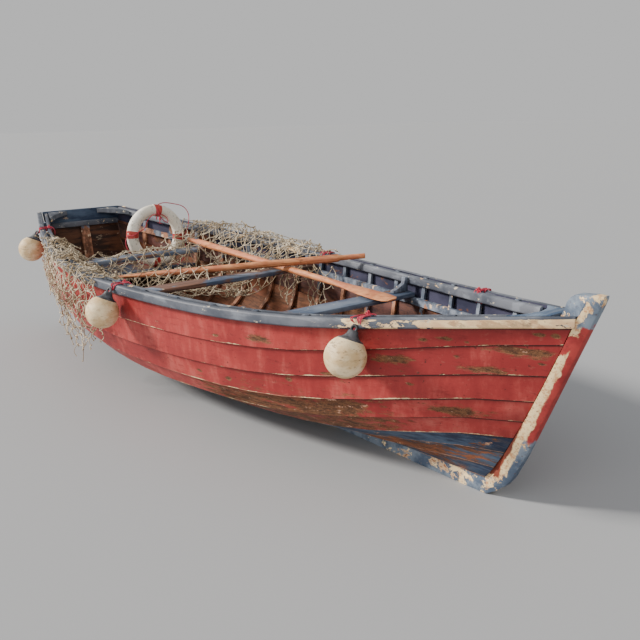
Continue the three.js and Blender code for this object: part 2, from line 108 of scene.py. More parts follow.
# ---------------------------------------------------------------- writing materials


def rgb(red, green, blue):
    """A colour as it looks on a screen, 0 to 255, as the linear colour that a shader takes."""
    share = [c / 255 for c in (red, green, blue)]
    return tuple(c / 12.92 if c <= 0.04045 else ((c + 0.055) / 1.055) ** 2.4 for c in share) + (1.0,)


PLANK_MARKS = "plank"


class Wire:
    """A shader socket. Sums and products on it add Math nodes."""

    def __init__(self, finish, socket):
        self.finish, self.socket = finish, socket

    def math(self, operation, *others):
        return self.finish.node("ShaderNodeMath", {"operation": operation}, [self, *others])

    def __add__(self, other):
        return self.math("ADD", other)

    def __sub__(self, other):
        return self.math("SUBTRACT", other)

    def __rsub__(self, other):
        return self.finish.node("ShaderNodeMath", {"operation": "SUBTRACT"}, [other, self])

    def __mul__(self, other):
        return self.math("MULTIPLY", other)

    def __truediv__(self, other):
        return self.math("DIVIDE", other)

    def __abs__(self):
        return self.math("ABSOLUTE")

    __radd__ = __add__
    __rmul__ = __mul__

    def either(self, other):
        return self.math("MAXIMUM", other)

    def fades(self, start, end):
        """0 at start and 1 at end, smooth between; start may lie above end."""
        settings = {"interpolation_type": "SMOOTHSTEP"}
        return self.finish.node("ShaderNodeMapRange", settings, [self, start, end, 0.0, 1.0])


class Finish:
    """A procedural material, written as expressions on Object coordinates in metres."""

    def __init__(self, name, **sockets):
        self.material = bpy.data.materials.new(name)
        self.material.use_nodes = True
        self.tree = self.material.node_tree
        self.shader = self.tree.nodes["Principled BSDF"]
        for socket, value in sockets.items():
            self.shader.inputs[socket.replace("_", " ")].default_value = value
        self.place = self.node("ShaderNodeTexCoord", {}, [], "Object")
        self.x, self.y, self.z = self.parts(self.place)

    def node(self, kind, settings, values, output=0):
        made = self.tree.nodes.new(kind)
        for key, value in settings.items():
            setattr(made, key, value)
        for key, value in values.items() if isinstance(values, dict) else enumerate(values):
            if isinstance(value, Wire):
                self.tree.links.new(value.socket, made.inputs[key])
            else:
                made.inputs[key].default_value = value
        return Wire(self, made.outputs[output])

    def blend(self, share, first, second):
        return self.node("ShaderNodeMix", {"data_type": "RGBA"}, {0: share, 6: first, 7: second}, 2)

    def vector_math(self, operation, first, second=None, output=0):
        values = [first] if second is None else [first, second]
        return self.node("ShaderNodeVectorMath", {"operation": operation}, values, output)

    def stretched(self, along, across, high, shift):
        moved = (shift, shift * 0.7, -shift)
        values = {"Vector": self.place, "Location": moved, "Scale": (along, across, high)}
        return self.node("ShaderNodeMapping", {}, values)

    def noise(self, scale, stretch=(1, 1, 1), detail=5.0, rough=0.55, shift=0.0, twist=0.0):
        values = {"Vector": self.stretched(*stretch, shift), "Scale": scale, "Detail": detail}
        values.update({"Roughness": rough, "Distortion": twist})
        return self.node("ShaderNodeTexNoise", {}, values)

    def parts(self, vector):
        split = self.node("ShaderNodeSeparateXYZ", {}, [vector])
        return [Wire(self, output) for output in split.socket.node.outputs]

    def plank_marks(self):
        """Height above the plank's lower edge, and distance below what covers its top."""
        marks = self.node("ShaderNodeAttribute", {"attribute_name": PLANK_MARKS}, [], "Vector")
        return self.parts(marks)[:2]

    def spots(self, places):
        """Highest at the middle of each (x, z, half length, half height), 0 at its rim and outside."""
        level = None
        for x, z, long, high in places:
            off = self.vector_math("SUBTRACT", self.place, (x, 0, z))
            scaled = self.vector_math("MULTIPLY", off, (1 / long, 0, 1 / high))
            spot = 1 - self.vector_math("LENGTH", scaled, output="Value")
            level = spot if level is None else level.either(spot)
        return level.either(0.0)

    def bump(self, height, depth):
        return self.node("ShaderNodeBump", {}, {"Strength": 1.0, "Distance": depth, "Height": height})

    def set(self, colour, roughness, normal=None):
        for socket, wire in (("Base Color", colour), ("Roughness", roughness), ("Normal", normal)):
            if wire is not None:
                self.tree.links.new(wire.socket, self.shader.inputs[socket])
        return self.material


# ---------------------------------------------------------------- paints and woods

CREAM = rgb(240, 212, 164)
DARK_WOOD = rgb(52, 36, 26)
ORANGE_WOOD = rgb(158, 92, 54)
RED_DEEP = rgb(140, 42, 42)
RED_MID = rgb(170, 60, 56)
RED_FADED = rgb(192, 100, 90)
SEAT_BLUE = rgb(112, 124, 142)
SEAT_BLUE_DARK = rgb(64, 80, 104)
NAVY = rgb(34, 42, 64)
SEA_BLUE = rgb(74, 92, 114)
GREY_BLUE = rgb(100, 104, 114)
GREY_BLUE_DARK = rgb(64, 70, 82)
SLATE_BLUE = rgb(58, 80, 108)
FOOT_BLUE = rgb(126, 138, 152)
FOOT_BLUE_DARK = rgb(74, 88, 108)

# Worn places on the topsides: x, height, half length, half height
WORN_PLACES = [
    (2.20, 0.560, 0.035, 0.016), (2.31, 0.578, 0.065, 0.018), (2.41, 0.572, 0.028, 0.012),
    (2.73, 0.650, 0.035, 0.014), (2.80, 0.652, 0.034, 0.020), (1.26, 0.440, 0.140, 0.034),
    (0.92, 0.408, 0.050, 0.014), (2.05, 0.434, 0.165, 0.040), (2.64, 0.550, 0.250, 0.046),
    (2.50, 0.438, 0.180, 0.034), (2.355, 0.490, 0.035, 0.015), (2.73, 0.500, 0.035, 0.014),
    (1.70, 0.300, 0.060, 0.014), (1.42, 0.222, 0.035, 0.020), (0.93, 0.125, 0.040, 0.020),
    (0.66, 0.120, 0.040, 0.016), (2.12, 0.312, 0.040, 0.015), (2.34, 0.188, 0.220, 0.044),
]


def plain_floor():
    finish = Finish("studio_floor")
    soft = finish.noise(0.6, detail=2.0)
    colour = finish.blend(soft, rgb(159, 162, 166), rgb(162, 164, 167))
    return finish.set(colour, soft * 0.1 + 0.85)


def grain(finish, shift=0.0, fine=1.0):
    """Fibres that run along the boat."""
    wide = finish.noise(9 * fine, (0.5, 5, 5), 6.0, 0.6, shift, 0.4)
    thin = finish.noise(60 * fine, (0.15, 4, 4), 4.0, 0.6, shift)
    return wide * 0.5 + thin * 0.5


def wood(finish, light, dark, shift=0.0):
    fibres = grain(finish, shift)
    colour = finish.blend(fibres.fades(0.38, 0.62), dark, light)
    stains = finish.noise(3.2, (0.6, 1, 1.6), 5.0, 0.6, shift + 4).fades(0.52, 0.7)
    return finish.blend(stains * 0.6, colour, DARK_WOOD), fibres


def flaked(finish, low, high, shift):
    """How far the paint has gone: 0 whole, 1 bare, with a torn rim."""
    return finish.noise(3.4, (0.55, 1, 1.5), 9.0, 0.62, shift, 0.35).fades(low, high)


def topside_paint(name, shift, rubbed):
    """Faded red over wood, gone at WORN_PLACES; `rubbed` bares more of a low plank amidships."""
    finish = Finish(name, Specular_IOR_Level=0.32)
    rise, cover = finish.plank_marks()
    clouds = finish.noise(1.3, (0.7, 1, 1.4), 6.0, 0.62, shift)
    streaks = finish.noise(6.0, (1.5, 1.5, 0.55), 8.0, 0.68, shift + 2)
    brushed = finish.noise(30, (0.12, 1, 2.6), 5.0, 0.7, shift + 9)
    colour = finish.blend((clouds * 0.6 + streaks * 0.4).fades(0.40, 0.60), RED_DEEP, RED_MID)
    faded = (streaks * 0.6 + brushed * 0.15 + clouds * 0.25).fades(0.49, 0.64)
    colour = finish.blend(faded * 0.5, colour, RED_FADED)
    scuffs = finish.noise(15, (0.4, 1, 2.0), 8.0, 0.72, shift + 5).fades(0.54, 0.70)
    colour = finish.blend(scuffs * 0.6, colour, rgb(112, 30, 32))

    coarse = finish.noise(7.0, (0.5, 1, 2.4), 10.0, 0.74, shift + 1, 0.5)
    torn = finish.noise(21, (0.3, 1, 2.0), 6.0, 0.72, shift + 10, 0.3)
    ragged = (coarse * 0.55 + torn * 0.45 - 0.5) * 2.6 + finish.z.fades(0.30, -0.10) * 0.12
    amidships = finish.x.fades(0.2, 0.95) * finish.x.fades(2.25, 1.7) + finish.x.fades(-0.6, -1.4) * 0.5
    level = ragged + finish.spots(WORN_PLACES) * 0.78 + amidships * rubbed
    stain = level.fades(0.22, 0.44)
    bare = level.fades(0.42, 0.56)
    fibres = grain(finish, shift, 1.6)
    khaki = finish.blend(fibres.fades(0.42, 0.58), rgb(78, 54, 34), rgb(136, 100, 62))
    timber = finish.blend(fibres.fades(0.42, 0.58), rgb(64, 44, 30), rgb(118, 80, 52))
    colour = finish.blend(stain * 0.72, colour, khaki)
    colour = finish.blend(bare * 0.85, colour, timber)
    scars = finish.noise(11, (0.5, 1, 3.0), 6.0, 0.75, shift + 12).fades(0.60, 0.66)
    colour = finish.blend(scars * stain.either(0.25) * 0.85, colour, rgb(48, 30, 24))

    gate = finish.noise(1.9, (1, 0.2, 0.2), 3.0, 0.5, shift + 3).fades(0.48, 0.60)
    nicks = finish.noise(24, (0.5, 1, 1), 6.0, 0.7, shift + 4)
    edge = (nicks * 0.016 + gate * 0.006 - rise).fades(0.0080, 0.0105)
    chipped = finish.blend(nicks.fades(0.45, 0.6), rgb(190, 128, 104), CREAM)
    colour = finish.blend(edge * 0.9, colour, chipped)
    # Painted shade under each lap: a soft darkening up to 5 cm below the plank above, then a dark painted
    # shadow line right under its edge.
    colour = finish.blend(cover.fades(0.05, 0.0) * 0.25, colour, rgb(84, 26, 24))
    colour = finish.blend(cover.fades(0.011, 0.004) * 0.85, colour, rgb(34, 18, 18))
    specks = finish.noise(46, (0.8, 1, 1.2), 3.0, 0.5, shift + 6).fades(0.68, 0.73)
    colour = finish.blend(specks * 0.75, colour, rgb(54, 30, 26))
    flecks = finish.noise(26, (0.6, 1, 1.2), 7.0, 0.74, shift + 13).fades(0.61, 0.64)
    flecked = flecks * (stain * 0.5 + amidships * rubbed * 0.8 + 0.08)
    colour = finish.blend(flecked, colour, rgb(206, 158, 132))
    colour = finish.blend(cover.fades(-0.045, -0.055), colour, rgb(52, 58, 70))

    roughness = clouds * 0.15 + stain * 0.2 + scuffs * 0.1 + 0.42
    height = (1 - stain) * 0.4 + (1 - bare) * 0.4 + (1 - edge) * 0.3 + fibres * 0.4 + brushed * 0.2
    return finish.set(colour, roughness, finish.bump(height, 0.0022))


def bottom_paint(name, shift, worn):
    """Blue bottom paint; `worn` raises how much of it is gone."""
    finish = Finish(name, Specular_IOR_Level=0.3)
    rise, cover = finish.plank_marks()
    clouds = finish.noise(3.0, (0.5, 1, 1.8), 7.0, 0.66, shift)
    brushed = finish.noise(26, (0.12, 1, 2.6), 5.0, 0.7, shift + 9)
    colour = finish.blend((clouds * 0.6 + brushed * 0.4).fades(0.42, 0.60), NAVY, SEA_BLUE)
    timber, fibres = wood(finish, ORANGE_WOOD, rgb(84, 54, 38), shift)
    ragged = finish.noise(5.0, (0.4, 1, 2.4), 9.0, 0.7, shift + 1, 0.4) * 0.6 + brushed * 0.4 + worn
    colour = finish.blend(ragged.fades(0.52, 0.60) * 0.6, colour, rgb(84, 78, 78))
    bare = ragged.fades(0.57, 0.61)
    colour = finish.blend(bare * 0.92, colour, timber)
    chips = finish.noise(11, (0.5, 1, 1.6), 8.0, 0.66, shift + 7).fades(0.63, 0.65)
    colour = finish.blend(chips, colour, rgb(198, 150, 116))
    torn = finish.noise(22, (0.5, 1, 1), 6.0, 0.7, shift + 4)
    edge = (torn * 0.018 - rise).fades(0.0050, 0.0080)
    colour = finish.blend(edge * 0.85, colour, rgb(178, 140, 116))
    # Painted shadow: a dark line right under the lap of the plank above.
    colour = finish.blend(cover.fades(0.012, 0.003) * 0.85, colour, rgb(16, 18, 24))
    height = (1 - bare) * 0.6 + fibres * 0.4 + (1 - chips) * 0.3
    return finish.set(colour, bare * 0.2 + clouds * 0.1 + 0.48, finish.bump(height, 0.002))


def keel_paint(name):
    """The same blue and chips as the foot of the stem, with bare orange patches."""
    finish = Finish(name, Specular_IOR_Level=0.32)
    clouds = finish.noise(7, (1, 1, 1), 7.0, 0.66, 5.0)
    ragged = finish.noise(10, (1, 1, 1), 9.0, 0.7, 2.0, 0.4)
    colour = finish.blend(clouds.fades(0.4, 0.62), FOOT_BLUE_DARK, FOOT_BLUE)
    timber, fibres = wood(finish, rgb(190, 118, 78), rgb(118, 74, 50), 2.0)
    patches = finish.noise(4.2, (0.8, 1, 1.4), 9.0, 0.66, 5.0, 0.3)
    colour = finish.blend(patches.fades(0.575, 0.595), colour, rgb(214, 178, 140))
    bare = patches.fades(0.605, 0.625)
    colour = finish.blend(bare, colour, timber)
    colour = finish.blend(ragged.fades(0.575, 0.59), colour, CREAM)
    return finish.set(colour, bare * 0.25 + 0.5, finish.bump((1 - bare) * 0.6 + fibres * 0.4, 0.002))


def inner_planking(name, shift, painted):
    """Bare brown planks; `painted` shows the dark blue of the top strake."""
    finish = Finish(name, Specular_IOR_Level=0.25)
    timber, fibres = wood(finish, rgb(124, 78, 52), rgb(70, 44, 30), shift)
    patches = finish.noise(2.4, (0.8, 1, 1.4), 6.0, 0.62, shift + 9)
    colour = finish.blend(patches.fades(0.5, 0.64) * 0.6, timber, rgb(150, 88, 62))
    blue = finish.blend(patches.fades(0.4, 0.6), rgb(32, 34, 56), rgb(58, 58, 80))
    gone = flaked(finish, 0.56, 0.60, shift + 2)
    colour = finish.blend((1 - gone) * painted, colour, blue)
    grey = flaked(finish, 0.62, 0.66, shift + 12)
    colour = finish.blend(grey * 0.6, colour, rgb(96, 98, 112))
    return finish.set(colour, patches * 0.1 + 0.7, finish.bump(fibres + gone * 0.4, 0.0016))


def depth_below_sheer(finish):
    from_low = finish.x - SHEER_LOW_X
    return SHEER_LOW + SHEER_RISE * from_low * from_low - finish.z


def grey_blue_paint(name, shift, chips_low, painted_shade, to_bow=0.0):
    """Grey-blue paint with cream undercoat where it has chipped; `to_bow` bares the outer face forward;
    `painted_shade` darkens it all as painted shade.
    """
    finish = Finish(name, Specular_IOR_Level=0.36)
    clouds = finish.noise(3.0, (0.6, 1, 1), 6.0, 0.6, shift)
    # Both tones are scaled by painted_shade: painted shade that makes the same paint darker on parts inside
    # the boat.
    light = tuple(c * painted_shade for c in GREY_BLUE[:3]) + (1.0,)
    dark = tuple(c * painted_shade for c in GREY_BLUE_DARK[:3]) + (1.0,)
    colour = finish.blend(clouds.fades(0.4, 0.62), dark, light)
    streaks = finish.noise(14, (0.25, 1, 1), 6.0, 0.6, shift + 2)
    colour = finish.blend(streaks.fades(0.52, 0.66) * 0.5, colour, rgb(132, 138, 148))
    below_sheer = depth_below_sheer(finish)
    forward = finish.x.fades(1.05, 2.6) * below_sheer.fades(0.004, 0.012) * to_bow
    ragged = finish.noise(6.5, (0.42, 1, 1.5), 10.0, 0.68, shift + 1, 0.4) + forward
    cream = ragged.fades(chips_low, chips_low + 0.012)
    rim = ragged.fades(chips_low - 0.02, chips_low)
    undercoat = finish.blend(streaks.fades(0.4, 0.62), rgb(214, 176, 136), CREAM)
    colour = finish.blend((rim - cream) * 0.5, colour, rgb(52, 60, 76))
    colour = finish.blend(cream, colour, undercoat)
    flecks = finish.noise(19, (0.5, 1, 1.2), 6.0, 0.66, shift + 11).fades(0.63, 0.65)
    colour = finish.blend(flecks * 0.9, colour, rgb(206, 194, 172))
    bare = ragged.fades(chips_low + 0.10, chips_low + 0.14)
    timber, fibres = wood(finish, rgb(168, 116, 82), rgb(108, 74, 52), shift)
    colour = finish.blend(bare * 0.55, colour, timber)
    dirt = finish.noise(22, (0.6, 1, 1), 5.0, 0.6, shift + 6).fades(0.6, 0.74)
    colour = finish.blend(dirt * 0.5, colour, rgb(46, 48, 54))
    height = (1 - cream) * 0.6 + fibres * 0.3 + streaks * 0.2
    return finish.set(colour, cream * 0.1 + clouds * 0.1 + 0.48, finish.bump(height, 0.0016))


def seat_paint(name, shift, colour_light, colour_dark, worn):
    """Blue painted boards, brown wood where the paint has gone; `worn` raises how much of it has."""
    finish = Finish(name, Specular_IOR_Level=0.32)
    clouds = finish.noise(3.6, (1, 0.6, 1), 6.0, 0.6, shift)
    colour = finish.blend(clouds.fades(0.4, 0.62), colour_dark, colour_light)
    lines = finish.noise(26, (3, 0.12, 3), 5.0, 0.6, shift)
    colour = finish.blend(lines.fades(0.5, 0.68) * 0.5, colour, rgb(140, 148, 158))
    timber = finish.blend(lines.fades(0.4, 0.62), rgb(84, 58, 44), rgb(134, 92, 68))
    bare = (finish.noise(3.4, (1.2, 0.5, 1), 9.0, 0.64, shift + 1, 0.3) + worn).fades(0.55, 0.60)
    colour = finish.blend(bare * 0.9, colour, timber)
    chips = finish.noise(13, (1, 0.7, 1), 7.0, 0.6, shift + 4).fades(0.66, 0.68)
    colour = finish.blend(chips, colour, rgb(206, 186, 158))
    return finish.set(colour, bare * 0.2 + 0.5, finish.bump((1 - bare) * 0.5 + lines * 0.5, 0.0016))


def inner_transom_paint(name, ledge):
    """Greyed blue above the ledge and dark brown boards below it."""
    finish = Finish(name, Specular_IOR_Level=0.3)
    streaks = finish.noise(12, (1, 0.3, 2.0), 7.0, 0.68, 3.0)
    clouds = finish.noise(3.4, (1, 1, 1), 6.0, 0.62, 5.0)
    blue = finish.blend((streaks * 0.5 + clouds * 0.5).fades(0.42, 0.6), rgb(36, 50, 74), rgb(72, 88, 110))
    boards = finish.blend(streaks.fades(0.4, 0.62), rgb(50, 34, 28), rgb(106, 68, 48))
    colour = finish.blend((finish.z + clouds * 0.03 - 0.015).fades(ledge, ledge + 0.006), boards, blue)
    chips = finish.noise(14, (1, 0.5, 1), 8.0, 0.68, 8.0).fades(0.63, 0.65)
    colour = finish.blend(chips * 0.8, colour, rgb(170, 150, 128))
    return finish.set(colour, clouds * 0.1 + 0.55, finish.bump(streaks + chips * -0.4, 0.0014))


def rib_paint(name):
    finish = Finish(name, Specular_IOR_Level=0.3)
    below_sheer = depth_below_sheer(finish)
    fibres = finish.noise(15, (0.8, 1, 0.8), 7.0, 0.68)
    colour = finish.blend(fibres.fades(0.4, 0.62), rgb(104, 68, 50), rgb(184, 128, 98))
    paint = finish.blend(fibres.fades(0.42, 0.6), rgb(72, 82, 98), rgb(124, 132, 146))
    ragged = finish.noise(6, (1, 1, 0.6), 8.0, 0.62, 3.0, 0.3)
    kept = (ragged - below_sheer * 1.15 + 0.27).fades(0.5, 0.53)
    colour = finish.blend(kept, colour, paint)
    dirt = finish.noise(9, (1, 1, 1), 6.0, 0.6, 7.0).fades(0.5, 0.7)
    colour = finish.blend(dirt * 0.5, colour, rgb(52, 38, 32))
    chips = finish.noise(17, (1, 1, 0.7), 7.0, 0.6, 4.0).fades(0.62, 0.64)
    colour = finish.blend(chips, colour, rgb(222, 190, 158))
    return finish.set(colour, 0.62 + fibres * 0.1, finish.bump(fibres + kept * 0.4, 0.0014))


# The stem's front edge: its x at the origin's height, how far it leans forward for each metre up,
# and the width of the face behind it
STEM_FRONT_X, STEM_RAKE, STEM_FACE = 2.6266, 0.442, 0.10


def stem_paint(name):
    """Blue-grey head, red leading edge, a cream strip down the side and red-brown wood at the hood ends."""
    finish = Finish(name, Specular_IOR_Level=0.34)
    ragged = finish.noise(10, (1, 1, 1), 9.0, 0.7, 2.0, 0.4)
    wander = ragged * 0.6 - 0.3
    behind = (finish.z * STEM_RAKE + STEM_FRONT_X - finish.x) / STEM_FACE + wander
    height = finish.z + wander * 0.35
    clouds = finish.noise(7, (1, 1, 1), 7.0, 0.66, 5.0)
    red = finish.blend(clouds.fades(0.4, 0.6), RED_DEEP, RED_MID)
    pits = finish.noise(40, (1, 1, 1), 6.0, 0.7, 1.0)
    cream = finish.blend(pits.fades(0.45, 0.62), CREAM, rgb(198, 146, 104))
    blue = finish.blend(clouds.fades(0.4, 0.62), FOOT_BLUE_DARK, FOOT_BLUE)
    timber = finish.blend(clouds.fades(0.4, 0.62), rgb(142, 66, 48), rgb(112, 52, 38))
    colour = finish.blend(behind.fades(0.26, 0.33), red, cream)
    colour = finish.blend(behind.fades(0.74, 0.82), colour, timber)
    crossing = height + behind * 0.05
    colour = finish.blend(crossing.fades(0.585, 0.60) * crossing.fades(0.70, 0.68), colour, red)
    head = crossing.fades(0.70, 0.715)
    strip = abs(behind - 0.45).fades(0.35, 0.1) * 0.12
    strip = strip + height.fades(0.80, 0.70) * behind.fades(0.3, 0.8) * 0.14
    colour = finish.blend(head, colour, finish.blend((ragged + strip).fades(0.605, 0.615), blue, cream))
    foot = (height.fades(0.09, 0.06) * behind.fades(0.45, 0.36)).either(height.fades(-0.14, -0.17))
    chipped = (ragged + behind.fades(0.1, 0.5) * 0.06).fades(0.575, 0.59)
    colour = finish.blend(foot, colour, finish.blend(chipped, blue, cream))
    front = (0.026 - abs(finish.y)).fades(0.0, 0.003) * behind.fades(0.25, 0.1)
    colour = finish.blend(front * finish.z.fades(0.08, 0.1) * (1 - head) * 0.85, colour, red)
    specks = finish.noise(60, (1, 1, 1), 3.0, 0.5, 9.0).fades(0.64, 0.70)
    colour = finish.blend(specks * 0.65, colour, rgb(92, 60, 46))
    return finish.set(colour, clouds * 0.1 + 0.52, finish.bump(ragged + specks * -0.5, 0.002))


def oar_wood(name, shift):
    finish = Finish(name, Specular_IOR_Level=0.36)
    fibres = finish.noise(24, (0.4, 0.4, 2.5), 7.0, 0.66, shift)
    wide = finish.noise(6.5, (0.7, 0.7, 1.5), 6.0, 0.64, shift + 2)
    colour = finish.blend(fibres.fades(0.38, 0.62), rgb(178, 106, 66), rgb(222, 152, 104))
    colour = finish.blend(wide.fades(0.48, 0.62) * 0.6, colour, rgb(198, 118, 88))
    knots = finish.noise(17, (1, 1, 1), 6.0, 0.66, shift + 3).fades(0.60, 0.68)
    colour = finish.blend(knots * 0.75, colour, rgb(104, 62, 42))
    return finish.set(colour, wide * 0.15 + 0.48, finish.bump(fibres + knots * -0.4, 0.0012))


def ring_plastic(name):
    finish = Finish(name, Specular_IOR_Level=0.4)
    clouds = finish.noise(7, detail=6.0)
    colour = finish.blend(clouds.fades(0.4, 0.64), rgb(228, 222, 206), rgb(252, 248, 238))
    grime = finish.noise(15, detail=8.0, rough=0.66, shift=3.0).fades(0.58, 0.66)
    colour = finish.blend(grime * 0.6, colour, rgb(116, 104, 86))
    pits = finish.noise(55, detail=3.0, shift=5.0).fades(0.66, 0.70)
    colour = finish.blend(pits * 0.9, colour, rgb(70, 58, 46))
    return finish.set(colour, clouds * 0.15 + 0.45, finish.bump(clouds + (1 - pits) * 0.6, 0.002))


def ring_band(name):
    finish = Finish(name, Specular_IOR_Level=0.3)
    weave = finish.noise(120, detail=2.0)
    clouds = finish.noise(12, detail=6.0, shift=2.0)
    colour = finish.blend(clouds.fades(0.4, 0.64), rgb(168, 48, 44), rgb(208, 92, 84))
    worn = finish.noise(24, detail=7.0, shift=6.0).fades(0.62, 0.66)
    colour = finish.blend(worn, colour, rgb(222, 196, 176))
    return finish.set(colour, clouds * 0.1 + 0.6, finish.bump(weave, 0.001))


def fender_plastic(name, shift):
    finish = Finish(name, Specular_IOR_Level=0.4)
    clouds = finish.noise(9, (1, 1, 1.6), 6.0, 0.6, shift)
    colour = finish.blend(clouds.fades(0.38, 0.64), rgb(214, 182, 134), rgb(246, 224, 182))
    grime = finish.noise(20, (1, 1, 2.0), 8.0, 0.68, shift + 3).fades(0.56, 0.70)
    colour = finish.blend(grime * 0.6, colour, rgb(150, 112, 74))
    scratches = finish.noise(14, (1, 1, 3), 8.0, 0.78, shift + 6).fades(0.57, 0.62)
    colour = finish.blend(scratches * 0.6, colour, rgb(116, 84, 58))
    return finish.set(colour, clouds * 0.15 + 0.5, finish.bump(clouds + grime * -0.4, 0.0015))


def fender_cone(name):
    finish = Finish(name, Specular_IOR_Level=0.42)
    clouds = finish.noise(22, detail=6.0)
    colour = finish.blend(clouds.fades(0.4, 0.66), rgb(44, 45, 50), rgb(92, 93, 98))
    salt = finish.noise(50, detail=5.0, shift=3.0).fades(0.64, 0.70)
    colour = finish.blend(salt * 0.6, colour, rgb(150, 142, 130))
    return finish.set(colour, clouds * 0.2 + 0.45, finish.bump(clouds, 0.001))


def net_twine(name, shift):
    finish = Finish(name, Specular_IOR_Level=0.2)
    lay = finish.noise(190, detail=2.0, shift=shift)
    clouds = finish.noise(5, detail=5.0, shift=shift + 2)
    colour = finish.blend(clouds.fades(0.4, 0.62), rgb(166, 148, 122), rgb(222, 208, 184))
    colour = finish.blend(lay.fades(0.5, 0.7) * 0.5, colour, rgb(104, 88, 70))
    return finish.set(colour, 0.85 + lay * 0.1, finish.bump(lay, 0.0006))


def lashing_cord(name):
    finish = Finish(name, Specular_IOR_Level=0.3)
    lay = finish.noise(210, detail=2.0)
    clouds = finish.noise(11, detail=4.0, shift=2.0)
    colour = finish.blend(clouds.fades(0.4, 0.62), rgb(178, 44, 66), rgb(216, 88, 106))
    colour = finish.blend(lay.fades(0.52, 0.7) * 0.5, colour, rgb(132, 34, 48))
    return finish.set(colour, 0.7 + lay * 0.1, finish.bump(lay, 0.0006))


# ---------------------------------------------------------------- tools for shaping pieces


SAME_PLACE = 0.00002
SAME_FLAT = 0.4


def select_only(piece):
    bpy.ops.object.select_all(action="DESELECT")
    piece.select_set(True)
    bpy.context.view_layer.objects.active = piece


def start_editing(piece):
    select_only(piece)
    bpy.ops.object.mode_set(mode="EDIT")
    bpy.ops.mesh.select_mode(type="FACE")


def stop_editing():
    bpy.ops.object.mode_set(mode="OBJECT")


def select_faces(piece, wanted):
    """In edit mode, selects the faces whose middle passes the test."""
    bpy.ops.mesh.select_all(action="DESELECT")
    bpy.ops.object.mode_set(mode="OBJECT")
    for face in piece.data.polygons:
        face.select = bool(wanted(face.center))
    bpy.ops.object.mode_set(mode="EDIT")


def settle(piece):
    """Puts the piece's place into its mesh."""
    select_only(piece)
    bpy.ops.object.transform_apply(location=True, rotation=True, scale=True)


def hand_in(piece, slot, *replaced):
    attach(piece, "root")
    if replaced:
        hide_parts(*replaced)
    return piece


def copy_of(node, flatten=True):
    """A new object of the CAD node's shape, its corners joined and, if flatten, its flat triangles too."""
    piece = bpy.data.objects.new(f"{node}_finish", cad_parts[node].data.copy())
    bpy.context.scene.collection.objects.link(piece)
    piece.data.materials.clear()
    start_editing(piece)
    bpy.ops.mesh.select_all(action="SELECT")
    bpy.ops.mesh.remove_doubles(threshold=SAME_PLACE)
    if flatten:
        bpy.ops.mesh.dissolve_limited(angle_limit=math.radians(SAME_FLAT))
    stop_editing()
    return piece


def round_edges(piece, width):
    select_only(piece)
    bevel = piece.modifiers.new("worn_edges", "BEVEL")
    bevel.width = width
    bevel.segments = 2
    bevel.angle_limit = math.radians(35)
    bevel.use_clamp_overlap = True
    bpy.ops.object.modifier_apply(modifier=bevel.name)


def smooth(piece, angle=32):
    select_only(piece)
    bpy.ops.object.shade_smooth_by_angle(angle=math.radians(angle))


def dress(node, slot, material, bevel=0.0):
    piece = copy_of(node)
    if bevel:
        round_edges(piece, bevel)
    smooth(piece)
    piece.data.materials.append(material)
    return hand_in(piece, slot, node)


# ---------------------------------------------------------------- the run of the gunwale

RAIL_RING = 6


def rail_line(node, ring):
    """x, half-breadth and height of a rail's outer top edge at each of its rings."""
    corners = sorted({tuple(round(c, 5) for c in v.co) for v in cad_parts[node].data.vertices})
    rings = [corners[i:i + ring] for i in range(0, len(corners), ring)]
    return [(np.mean([c[0] for c in r]), max(abs(c[1]) for c in r), max(c[2] for c in r)) for r in rings]


RAIL = rail_line("starboard_outwale", RAIL_RING)


def half_breadth(x):
    return float(np.interp(x, [r[0] for r in RAIL], [r[1] for r in RAIL]))


def sheer(x):
    return float(np.interp(x, [r[0] for r in RAIL], [r[2] for r in RAIL]))


# The sheer as a parabola, for the paints that follow it
SHEER_LOW_X, SHEER_BOW_X = 0.3, 2.6
SHEER_EASE = 0.96
SHEER_LOW = sheer(SHEER_LOW_X)
SHEER_RISE = (sheer(SHEER_BOW_X) - SHEER_LOW) / (SHEER_BOW_X - SHEER_LOW_X) ** 2 * SHEER_EASE


# ---------------------------------------------------------------- planking

LAP = 0.022
OUTWALE_DEEP = 0.060
PLANK_RING, TOP_PLANK_RING = 7, 5


def plank_rings(piece, count):
    order = sorted(piece.data.vertices, key=lambda v: v.co.x)
    return [order[i:i + count] for i in range(0, len(order), count)]


def mark_plank(piece, count, covered):
    """Writes the marks that the plank paints read, and gives the way up the plank at each ring."""
    marks = np.zeros((len(piece.data.vertices), 3), np.float32)
    frames = []
    for ring in plank_rings(piece, count):
        low = min(ring, key=lambda v: v.co.z).co
        far = max(ring, key=lambda v: (v.co - low).yz.length).co
        up = Vector((0, far.y - low.y, far.z - low.z)).normalized()
        rises = [(v.co - low).dot(up) for v in ring]
        for vertex, rise in zip(ring, rises):
            marks[vertex.index] = (rise, max(rises) - covered - rise, 0)
        frames.append((low.x, up))
    attribute = piece.data.attributes.new(PLANK_MARKS, "FLOAT_VECTOR", "POINT")
    attribute.data.foreach_set("vector", marks.ravel())
    return frames


def dress_strake(side, number):
    node = f"{side}_strake_{number}"
    sign = SIDES[side]
    piece = copy_of(node, flatten=False)
    top = number == max(STRAKES)
    frames = mark_plank(piece, TOP_PLANK_RING if top else PLANK_RING, OUTWALE_DEEP if top else LAP)
    piece.data.materials.append(PLANK_OUTSIDE[number])
    piece.data.materials.append(PLANK_INSIDE[number])
    for face in piece.data.polygons:
        up = min(frames, key=lambda entry: abs(entry[0] - face.center.x))[1]
        outward = Vector((0, sign * up.z, -sign * up.y))
        face.material_index = 1 if face.normal.dot(outward) < -0.3 else 0
    smooth(piece, 28)
    slot = "topside_paint" if number >= FIRST_RED_STRAKE else "bottom_paint"
    return hand_in(piece, slot, node)


# ---------------------------------------------------------------- fenders

FENDER_EYE = 0.016
FENDER_LEAN = 0.42
FENDER_SHOULDER = 0.78

